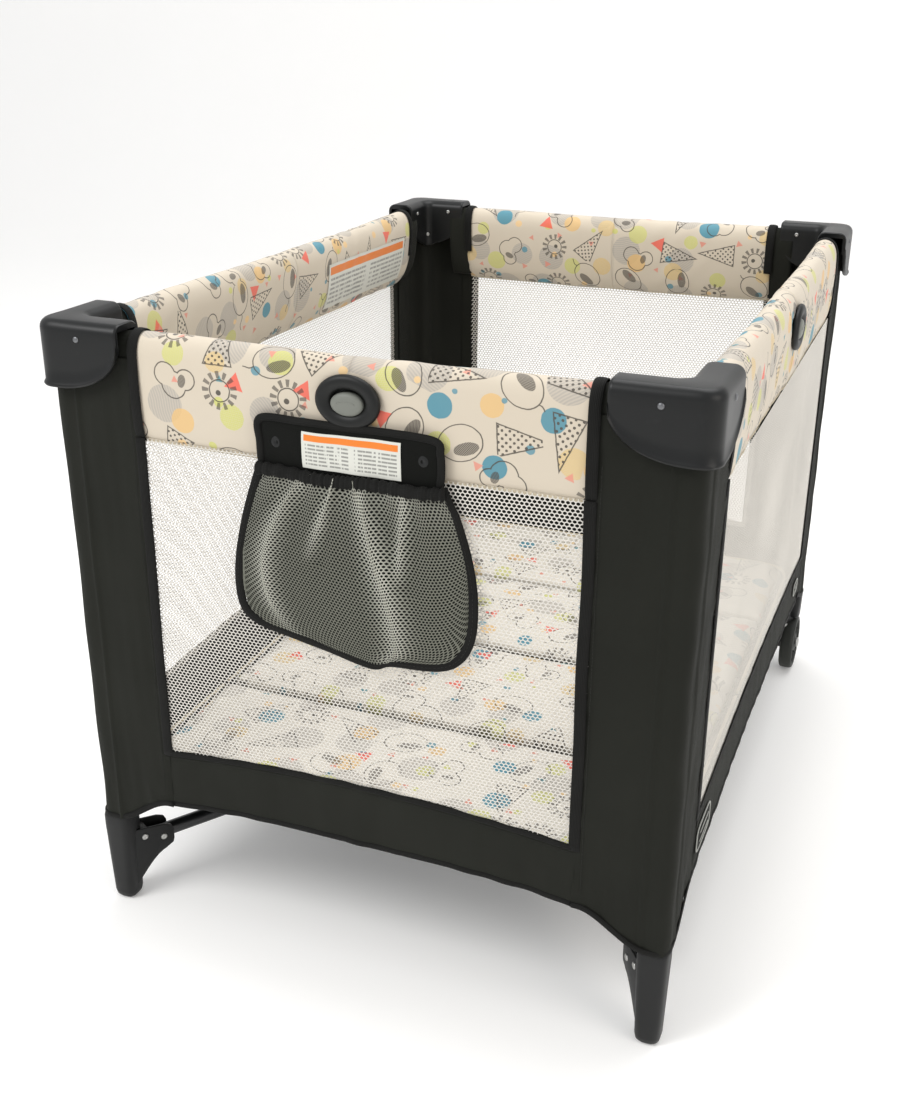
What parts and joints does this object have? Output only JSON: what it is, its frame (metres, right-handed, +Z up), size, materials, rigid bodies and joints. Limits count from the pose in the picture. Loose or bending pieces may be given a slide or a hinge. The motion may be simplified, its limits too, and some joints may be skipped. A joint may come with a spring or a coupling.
{
  "type": "folding playpen",
  "caption": "Folding playpen with hinged top rails, mesh sides, a floor frame with a lifting hub, a folding mattress, a storage pocket and wheels at one end.",
  "frame": {"origin": "middle of the footprint, on the floor", "axes": "+Z up; X along the short side; Y along the long side, with the near end and its pocket at -Y and the wheels at +Y"},
  "size_m": [0.724, 1.031, 0.737],
  "materials": {
    "charcoal_fabric": "charcoal woven polyester",
    "netting": "off-white knitted mesh",
    "printed_fabric": "cream printed polyester over padding",
    "mattress_fabric": "cream printed quilted pad",
    "pocket_mesh": "dark mesh with black binding",
    "webbing": "red woven webbing",
    "black_plastic": "moulded charcoal plastic, satin",
    "grey_plastic": "moulded grey plastic, satin",
    "wheel_plastic": "dark grey moulded wheel",
    "painted_tube": "black powder-coated steel tube",
    "steel": "zinc-plated rivet"
  },
  "bodies": {
    "corner_nl": {"post_nl": "painted_tube", "cap_nl": "black_plastic", "foot_nl": "black_plastic", "foot_pin_nl": "steel", "corner_panel_nl": "charcoal_fabric", "side_wall_near": "netting"},
    "corner_nr": {"post_nr": "painted_tube", "cap_nr": "black_plastic", "foot_nr": "black_plastic", "foot_pin_nr": "steel", "corner_panel_nr": "charcoal_fabric", "side_wall_right": "netting"},
    "corner_fr": {"post_fr": "painted_tube", "cap_fr": "black_plastic", "wheel_bracket_fr": "black_plastic", "foot_pin_fr": "steel", "corner_panel_fr": "charcoal_fabric", "side_wall_far": "netting"},
    "corner_fl": {"post_fl": "painted_tube", "cap_fl": "black_plastic", "wheel_bracket_fl": "black_plastic", "foot_pin_fl": "steel", "corner_panel_fl": "charcoal_fabric", "side_wall_left": "netting"},
    "arm_nl": {"floor_arm_nl": "painted_tube"},
    "arm_nr": {"floor_arm_nr": "painted_tube"},
    "arm_fr": {"floor_arm_fr": "painted_tube"},
    "arm_fl": {"floor_arm_fl": "painted_tube"},
    "hub": {"hub": "black_plastic", "pull_strap": "webbing", "floor_cloth": "charcoal_fabric"},
    "leg_left": {"centre_leg_left": "painted_tube"},
    "leg_right": {"centre_leg_right": "painted_tube"},
    "rail_near_left": {"rail_near_left": "painted_tube"},
    "latch_near": {"latch_housing_near": "black_plastic", "rail_cover_near": "printed_fabric", "storage_pocket": "pocket_mesh"},
    "button_near": {"latch_button_near": "grey_plastic"},
    "rail_near_right": {"rail_near_right": "painted_tube"},
    "rail_right_near": {"rail_right_near": "painted_tube"},
    "latch_right": {"latch_housing_right": "black_plastic", "rail_cover_right": "printed_fabric"},
    "button_right": {"latch_button_right": "grey_plastic"},
    "rail_right_far": {"rail_right_far": "painted_tube"},
    "rail_far_right": {"rail_far_right": "painted_tube"},
    "latch_far": {"latch_housing_far": "black_plastic", "rail_cover_far": "printed_fabric"},
    "button_far": {"latch_button_far": "grey_plastic"},
    "rail_far_left": {"rail_far_left": "painted_tube"},
    "rail_left_far": {"rail_left_far": "painted_tube"},
    "latch_left": {"latch_housing_left": "black_plastic", "rail_cover_left": "printed_fabric"},
    "button_left": {"latch_button_left": "grey_plastic"},
    "rail_left_near": {"rail_left_near": "painted_tube"},
    "mattress": {"mattress_panel_2": "mattress_fabric"},
    "mattress_flap_1": {"mattress_panel_1": "mattress_fabric"},
    "mattress_flap_3": {"mattress_panel_3": "mattress_fabric"},
    "mattress_flap_4": {"mattress_panel_4": "mattress_fabric"},
    "wheel_fl": {"wheel_fl": "wheel_plastic"},
    "wheel_fr": {"wheel_fr": "wheel_plastic"}
  },
  "joints": [
    {"name": "fold", "type": "hinge", "parent": "corner_nl", "child": "arm_nl", "pos_m": [-0.31003, -0.43587, 0.073], "axis": [0.8398, -0.5429, 0], "range_deg": [0, 84], "deforming": ["corner_panel_nl", "corner_panel_nr", "corner_panel_fr", "corner_panel_fl", "side_wall_near", "side_wall_right", "side_wall_far", "side_wall_left", "rail_cover_near", "rail_cover_right", "rail_cover_far", "rail_cover_left", "floor_cloth", "storage_pocket", "mattress_panel_1", "mattress_panel_2", "mattress_panel_3", "mattress_panel_4"]},
    {"name": "hub_level", "type": "hinge", "parent": "arm_nl", "child": "hub", "pos_m": [-0.05503, -0.04137, 0.073], "axis": [0.8398, -0.5429, 0], "range_deg": [-84, 0]},
    {"name": "arm_nr_hinge", "type": "hinge", "parent": "hub", "child": "arm_nr", "pos_m": [0.05503, -0.04137, 0.073], "axis": [0.8398, 0.5429, 0], "range_deg": [0, 84]},
    {"name": "corner_nr_upright", "type": "hinge", "parent": "arm_nr", "child": "corner_nr", "pos_m": [0.31003, -0.43587, 0.073], "axis": [0.8398, 0.5429, 0], "range_deg": [-84, 0]},
    {"name": "arm_fr_hinge", "type": "hinge", "parent": "hub", "child": "arm_fr", "pos_m": [0.05503, 0.04137, 0.073], "axis": [-0.8398, 0.5429, 0], "range_deg": [0, 84]},
    {"name": "corner_fr_upright", "type": "hinge", "parent": "arm_fr", "child": "corner_fr", "pos_m": [0.31003, 0.43587, 0.073], "axis": [-0.8398, 0.5429, 0], "range_deg": [-84, 0]},
    {"name": "arm_fl_hinge", "type": "hinge", "parent": "hub", "child": "arm_fl", "pos_m": [-0.05503, 0.04137, 0.073], "axis": [-0.8398, -0.5429, 0], "range_deg": [0, 84]},
    {"name": "corner_fl_upright", "type": "hinge", "parent": "arm_fl", "child": "corner_fl", "pos_m": [-0.31003, 0.43587, 0.073], "axis": [-0.8398, -0.5429, 0], "range_deg": [-84, 0]},
    {"name": "rail_near_left_hinge", "type": "hinge", "parent": "corner_nl", "child": "rail_near_left", "pos_m": [-0.29, -0.4745, 0.714], "axis": [0, 1, 0], "range_deg": [0, 84]},
    {"name": "latch_near_level", "type": "hinge", "parent": "rail_near_left", "child": "latch_near", "pos_m": [-0.035, -0.4745, 0.714], "axis": [0, 1, 0], "range_deg": [-84, 0]},
    {"name": "rail_near_right_hinge", "type": "hinge", "parent": "corner_nr", "child": "rail_near_right", "pos_m": [0.29, -0.4745, 0.714], "axis": [0, -1, 0], "range_deg": [0, 84]},
    {"name": "rail_right_near_hinge", "type": "hinge", "parent": "corner_nr", "child": "rail_right_near", "pos_m": [0.335, -0.4295, 0.714], "axis": [-1, 0, 0], "range_deg": [0, 84]},
    {"name": "latch_right_level", "type": "hinge", "parent": "rail_right_near", "child": "latch_right", "pos_m": [0.335, -0.035, 0.714], "axis": [-1, 0, 0], "range_deg": [-84, 0]},
    {"name": "rail_right_far_hinge", "type": "hinge", "parent": "corner_fr", "child": "rail_right_far", "pos_m": [0.335, 0.4295, 0.714], "axis": [1, 0, 0], "range_deg": [0, 84]},
    {"name": "rail_far_right_hinge", "type": "hinge", "parent": "corner_fr", "child": "rail_far_right", "pos_m": [0.29, 0.4745, 0.714], "axis": [0, -1, 0], "range_deg": [0, 84]},
    {"name": "latch_far_level", "type": "hinge", "parent": "rail_far_right", "child": "latch_far", "pos_m": [0.035, 0.4745, 0.714], "axis": [0, -1, 0], "range_deg": [-84, 0]},
    {"name": "rail_far_left_hinge", "type": "hinge", "parent": "corner_fl", "child": "rail_far_left", "pos_m": [-0.29, 0.4745, 0.714], "axis": [0, 1, 0], "range_deg": [0, 84]},
    {"name": "rail_left_far_hinge", "type": "hinge", "parent": "corner_fl", "child": "rail_left_far", "pos_m": [-0.335, 0.4295, 0.714], "axis": [1, 0, 0], "range_deg": [0, 84]},
    {"name": "latch_left_level", "type": "hinge", "parent": "rail_left_far", "child": "latch_left", "pos_m": [-0.335, 0.035, 0.714], "axis": [1, 0, 0], "range_deg": [-84, 0]},
    {"name": "rail_left_near_hinge", "type": "hinge", "parent": "corner_nl", "child": "rail_left_near", "pos_m": [-0.335, -0.4295, 0.714], "axis": [-1, 0, 0], "range_deg": [0, 84]},
    {"name": "latch_button_near_press", "type": "slide", "parent": "latch_near", "child": "button_near", "axis": [0, 1, 0], "range_m": [0, 0.004], "stiffness_N_per_m": 400, "springref_m": -0.002},
    {"name": "latch_button_right_press", "type": "slide", "parent": "latch_right", "child": "button_right", "axis": [-1, 0, 0], "range_m": [0, 0.004], "stiffness_N_per_m": 400, "springref_m": -0.002},
    {"name": "latch_button_far_press", "type": "slide", "parent": "latch_far", "child": "button_far", "axis": [0, -1, 0], "range_m": [0, 0.004], "stiffness_N_per_m": 400, "springref_m": -0.002},
    {"name": "latch_button_left_press", "type": "slide", "parent": "latch_left", "child": "button_left", "axis": [1, 0, 0], "range_m": [0, 0.004], "stiffness_N_per_m": 400, "springref_m": -0.002},
    {"name": "leg_left_hinge", "type": "hinge", "parent": "hub", "child": "leg_left", "pos_m": [-0.045, -0.012, 0.073], "axis": [0, -1, 0], "range_deg": [0, 84]},
    {"name": "leg_right_hinge", "type": "hinge", "parent": "hub", "child": "leg_right", "pos_m": [0.045, 0.012, 0.073], "axis": [0, 1, 0], "range_deg": [0, 84]},
    {"name": "mattress_lift", "type": "slide", "parent": "hub", "child": "mattress", "axis": [0, 0, 1], "range_m": [0, 0.115]},
    {"name": "crease_1", "type": "hinge", "parent": "mattress", "child": "mattress_flap_1", "pos_m": [0, -0.234, 0.19], "axis": [-1, 0, 0], "range_deg": [0, 90]},
    {"name": "crease_3", "type": "hinge", "parent": "mattress", "child": "mattress_flap_3", "pos_m": [0, 0, 0.19], "axis": [1, 0, 0], "range_deg": [0, 90]},
    {"name": "crease_4", "type": "hinge", "parent": "mattress_flap_3", "child": "mattress_flap_4", "pos_m": [0, 0.234, 0.19], "axis": [1, 0, 0], "range_deg": [0, 90]},
    {"name": "wheel_fl_roll", "type": "hinge", "parent": "corner_fl", "child": "wheel_fl", "pos_m": [-0.3405, 0.4705, 0.045], "axis": [1, 0, 0], "continuous": true},
    {"name": "wheel_fr_roll", "type": "hinge", "parent": "corner_fr", "child": "wheel_fr", "pos_m": [0.3405, 0.4705, 0.045], "axis": [1, 0, 0], "continuous": true}
  ],
  "couplings": [
    {"joint": "hub_level", "follows": "fold", "ratio": -1},
    {"joint": "arm_nr_hinge", "follows": "fold", "ratio": 1},
    {"joint": "corner_nr_upright", "follows": "fold", "ratio": -1},
    {"joint": "arm_fr_hinge", "follows": "fold", "ratio": 1},
    {"joint": "corner_fr_upright", "follows": "fold", "ratio": -1},
    {"joint": "arm_fl_hinge", "follows": "fold", "ratio": 1},
    {"joint": "corner_fl_upright", "follows": "fold", "ratio": -1},
    {"joint": "rail_near_left_hinge", "follows": "fold", "ratio": 1},
    {"joint": "latch_near_level", "follows": "fold", "ratio": -1},
    {"joint": "rail_near_right_hinge", "follows": "fold", "ratio": 1},
    {"joint": "rail_right_near_hinge", "follows": "fold", "ratio": 1},
    {"joint": "latch_right_level", "follows": "fold", "ratio": -1},
    {"joint": "rail_right_far_hinge", "follows": "fold", "ratio": 1},
    {"joint": "rail_far_right_hinge", "follows": "fold", "ratio": 1},
    {"joint": "latch_far_level", "follows": "fold", "ratio": -1},
    {"joint": "rail_far_left_hinge", "follows": "fold", "ratio": 1},
    {"joint": "rail_left_far_hinge", "follows": "fold", "ratio": 1},
    {"joint": "latch_left_level", "follows": "fold", "ratio": -1},
    {"joint": "rail_left_near_hinge", "follows": "fold", "ratio": 1},
    {"joint": "leg_left_hinge", "follows": "fold", "ratio": 1},
    {"joint": "leg_right_hinge", "follows": "fold", "ratio": 1},
    {"joint": "mattress_lift", "follows": "fold", "m_per_rad": 0.07674}
  ]
}
